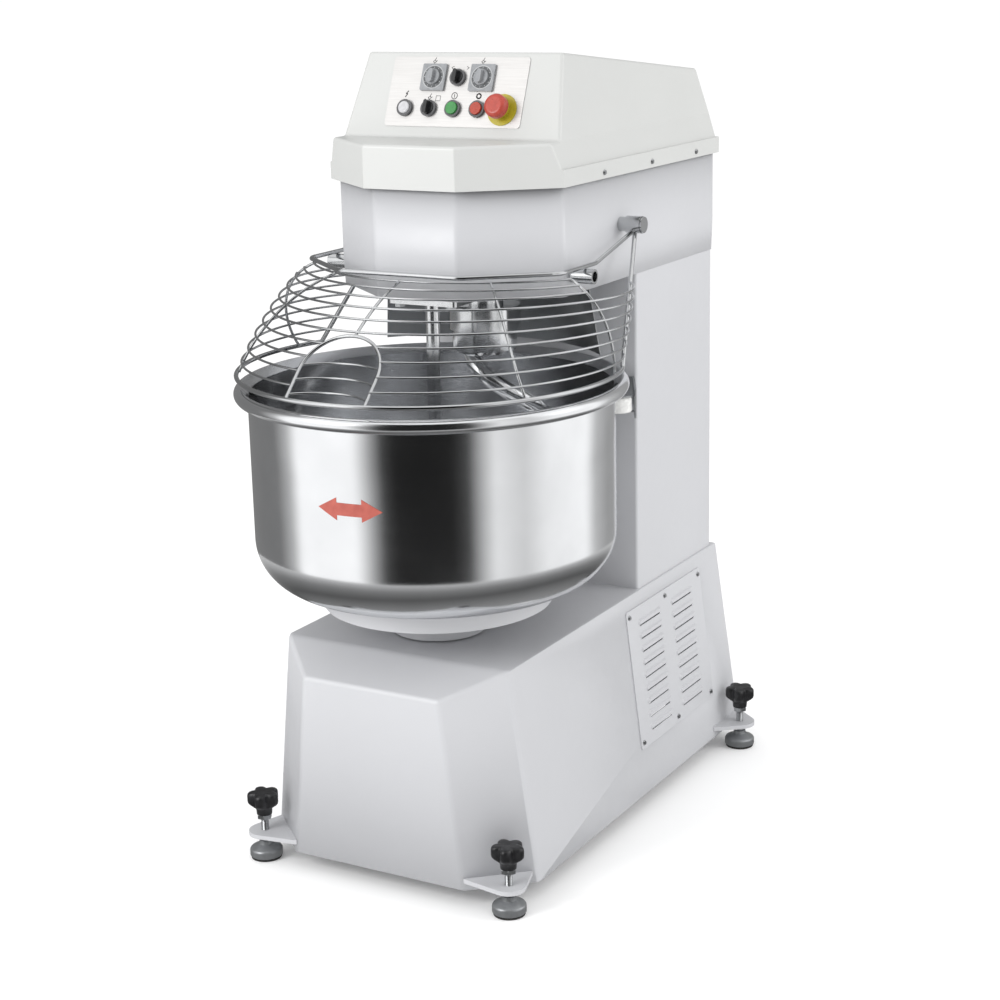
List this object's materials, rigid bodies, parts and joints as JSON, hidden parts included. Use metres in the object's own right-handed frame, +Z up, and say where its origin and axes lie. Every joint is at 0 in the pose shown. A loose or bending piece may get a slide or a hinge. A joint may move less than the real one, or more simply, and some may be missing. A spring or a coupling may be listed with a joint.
{
  "type": "commercial stand mixer",
  "caption": "Floor-standing spiral dough mixer with a polished bowl turning on the base, a kneading spiral, a swinging wire guard and a control face.",
  "frame": {"origin": "on the floor, at the middle of the machine's bounding box", "axes": "+Z up, front of the machine (bowl) towards -Y, +X to the right of a person facing the front"},
  "size_m": [0.694, 1.083, 1.4295],
  "materials": {
    "bearing_iron": "machined cast iron",
    "belt_rubber": "ribbed rubber",
    "bezel_plastic": "gloss black plastic",
    "black_plastic": "moulded black plastic",
    "bowl_steel": "mirror polished stainless steel",
    "bright_wire": "bright chrome plated wire",
    "brushed_stainless": "brushed stainless steel",
    "control_grey": "grey plastic housings",
    "cover_paint": "satin powder coat",
    "dish_paint": "satin powder coat",
    "foot_cup": "grey lacquered steel over a black rubber sole",
    "green_plastic": "green plastic",
    "lens_plastic": "white diffusing lens",
    "motor_enamel": "blue-grey enamel",
    "plate_steel": "brushed stainless steel",
    "polished_steel": "mirror polished stainless steel",
    "red_plastic": "red plastic",
    "shield_steel": "brushed stainless steel",
    "timer_plastic": "light grey moulded plastic",
    "white_nylon": "turned nylon",
    "white_paint": "satin powder coat",
    "yellow_plastic": "yellow plastic",
    "zinc_steel": "zinc plated steel"
  },
  "bodies": {
    "frame": {"base_housing": "white_paint", "vent_panels": "white_paint", "foot_brackets": "white_paint", "column_housing": "white_paint", "rear_cover": "white_paint", "cable_gland": "black_plastic", "head_housing": "white_paint", "head_underside_plate": "white_paint", "top_cover": "cover_paint", "control_plate": "plate_steel", "switch_bezels": "bezel_plastic", "emergency_stop_collar": "yellow_plastic", "lamp_lens": "lens_plastic", "timer_housings": "timer_plastic", "housing_screws": "zinc_steel", "bowl_bearing_housing": "bearing_iron", "spiral_bearing_housing": "white_paint", "bowl_drive_belt": "belt_rubber", "spiral_drive_belt": "belt_rubber", "bowl_motor": "motor_enamel", "spiral_motor": "motor_enamel", "contactor_panel": "control_grey", "breaker_bar": "polished_steel", "flange_bolts": "zinc_steel", "splash_shield": "shield_steel", "guard_pins": "brushed_stainless", "roller_brackets": "brushed_stainless"},
    "bowl": {"mixing_bowl": "bowl_steel", "bowl_support_dish": "dish_paint", "bowl_pulley": "bearing_iron"},
    "bowl_motor_drive": {"bowl_motor_pulley": "bearing_iron"},
    "spiral": {"spiral_drum": "polished_steel", "spiral_hook": "polished_steel", "spiral_pulley": "bearing_iron"},
    "spiral_motor_drive": {"spiral_motor_pulley": "bearing_iron"},
    "roller_right": {"guide_roller_right": "white_nylon"},
    "roller_left": {"guide_roller_left": "white_nylon"},
    "guard": {"guard_top_rod": "bright_wire", "guard_hoops": "bright_wire", "guard_ribs": "bright_wire", "guard_bottom_ring": "bright_wire"},
    "timer_left": {"timer_knob_left": "timer_plastic"},
    "timer_right": {"timer_knob_right": "timer_plastic"},
    "mode_knob": {"mode_selector": "black_plastic"},
    "direction_knob": {"direction_selector": "black_plastic"},
    "start": {"start_button": "green_plastic"},
    "stop": {"stop_button": "red_plastic"},
    "emergency_stop": {"emergency_stop_button": "red_plastic"},
    "foot_front_right": {"levelling_pad_front_right": "foot_cup"},
    "adjuster_front_right": {"levelling_screw_front_right": "zinc_steel", "star_knob_front_right": "black_plastic"},
    "foot_front_left": {"levelling_pad_front_left": "foot_cup"},
    "adjuster_front_left": {"levelling_screw_front_left": "zinc_steel", "star_knob_front_left": "black_plastic"},
    "foot_rear_right": {"levelling_pad_rear_right": "foot_cup"},
    "adjuster_rear_right": {"levelling_screw_rear_right": "zinc_steel", "star_knob_rear_right": "black_plastic"},
    "foot_rear_left": {"levelling_pad_rear_left": "foot_cup"},
    "adjuster_rear_left": {"levelling_screw_rear_left": "zinc_steel", "star_knob_rear_left": "black_plastic"}
  },
  "joints": [
    {"name": "bowl_spin", "type": "hinge", "parent": "frame", "child": "bowl", "pos_m": [0, -0.1945, 0.6], "axis": [0, 0, 1], "continuous": true},
    {"name": "bowl_motor_spin", "type": "hinge", "parent": "frame", "child": "bowl_motor_drive", "pos_m": [0, 0.2055, 0.2], "axis": [0, 0, 1], "continuous": true},
    {"name": "spiral_spin", "type": "hinge", "parent": "frame", "child": "spiral", "pos_m": [0, -0.0055, 1], "axis": [0, 0, 1], "continuous": true},
    {"name": "spiral_motor_spin", "type": "hinge", "parent": "frame", "child": "spiral_motor_drive", "pos_m": [0, 0.3395, 1.15], "axis": [0, 0, 1], "continuous": true},
    {"name": "roller_right_spin", "type": "hinge", "parent": "frame", "child": "roller_right", "pos_m": [0.24846, 0.04544, 0.803], "axis": [0, 0, 1], "continuous": true},
    {"name": "roller_left_spin", "type": "hinge", "parent": "frame", "child": "roller_left", "pos_m": [-0.24846, 0.04544, 0.803], "axis": [0, 0, 1], "continuous": true},
    {"name": "guard_hinge", "type": "hinge", "parent": "frame", "child": "guard", "pos_m": [0, 0.0955, 1.122], "axis": [-1, 0, 0], "range_deg": [0, 62]},
    {"name": "timer_left_turn", "type": "hinge", "parent": "frame", "child": "timer_left", "pos_m": [-0.049, -0.07265, 1.38618], "axis": [0, 0.9276, -0.3736], "range_deg": [0, 270]},
    {"name": "timer_right_turn", "type": "hinge", "parent": "frame", "child": "timer_right", "pos_m": [0.049, -0.07265, 1.38618], "axis": [0, 0.9276, -0.3736], "range_deg": [0, 270]},
    {"name": "mode_turn", "type": "hinge", "parent": "frame", "child": "mode_knob", "pos_m": [-0.049, -0.09357, 1.33423], "axis": [0, 0.9276, -0.3736], "range_deg": [-45, 45]},
    {"name": "direction_turn", "type": "hinge", "parent": "frame", "child": "direction_knob", "pos_m": [0, -0.07265, 1.38618], "axis": [0, 0.9276, -0.3736], "range_deg": [-45, 45]},
    {"name": "start_press", "type": "slide", "parent": "frame", "child": "start", "axis": [0, 0.9276, -0.3736], "range_m": [0, 0.0035], "stiffness_N_per_m": 600},
    {"name": "stop_press", "type": "slide", "parent": "frame", "child": "stop", "axis": [0, 0.9276, -0.3736], "range_m": [0, 0.0035], "stiffness_N_per_m": 600},
    {"name": "emergency_press", "type": "slide", "parent": "frame", "child": "emergency_stop", "axis": [0, 0.9276, -0.3736], "range_m": [0, 0.005]},
    {"name": "foot_front_right_travel", "type": "slide", "parent": "frame", "child": "foot_front_right", "axis": [0, 0, 1], "range_m": [-0.01, 0.01]},
    {"name": "adjuster_front_right_turn", "type": "hinge", "parent": "foot_front_right", "child": "adjuster_front_right", "pos_m": [0.256, -0.4095, 0.06], "axis": [0, 0, 1], "range_deg": [-1800, 1800]},
    {"name": "foot_front_left_travel", "type": "slide", "parent": "frame", "child": "foot_front_left", "axis": [0, 0, 1], "range_m": [-0.01, 0.01]},
    {"name": "adjuster_front_left_turn", "type": "hinge", "parent": "foot_front_left", "child": "adjuster_front_left", "pos_m": [-0.256, -0.4095, 0.06], "axis": [0, 0, 1], "range_deg": [-1800, 1800]},
    {"name": "foot_rear_right_travel", "type": "slide", "parent": "frame", "child": "foot_rear_right", "axis": [0, 0, 1], "range_m": [-0.01, 0.01]},
    {"name": "adjuster_rear_right_turn", "type": "hinge", "parent": "foot_rear_right", "child": "adjuster_rear_right", "pos_m": [0.306, 0.4755, 0.06], "axis": [0, 0, 1], "range_deg": [-1800, 1800]},
    {"name": "foot_rear_left_travel", "type": "slide", "parent": "frame", "child": "foot_rear_left", "axis": [0, 0, 1], "range_m": [-0.01, 0.01]},
    {"name": "adjuster_rear_left_turn", "type": "hinge", "parent": "foot_rear_left", "child": "adjuster_rear_left", "pos_m": [-0.306, 0.4755, 0.06], "axis": [0, 0, 1], "range_deg": [-1800, 1800]}
  ],
  "couplings": [
    {"joint": "bowl_motor_spin", "follows": "bowl_spin", "ratio": 3.665},
    {"joint": "roller_right_spin", "follows": "bowl_spin", "ratio": -14.682},
    {"joint": "roller_left_spin", "follows": "bowl_spin", "ratio": -14.682},
    {"joint": "spiral_motor_spin", "follows": "spiral_spin", "ratio": 3.665},
    {"joint": "adjuster_front_right_turn", "follows": "foot_front_right_travel", "rad_per_m": 3141.5},
    {"joint": "adjuster_front_left_turn", "follows": "foot_front_left_travel", "rad_per_m": 3141.5},
    {"joint": "adjuster_rear_right_turn", "follows": "foot_rear_right_travel", "rad_per_m": 3141.5},
    {"joint": "adjuster_rear_left_turn", "follows": "foot_rear_left_travel", "rad_per_m": 3141.5}
  ]
}
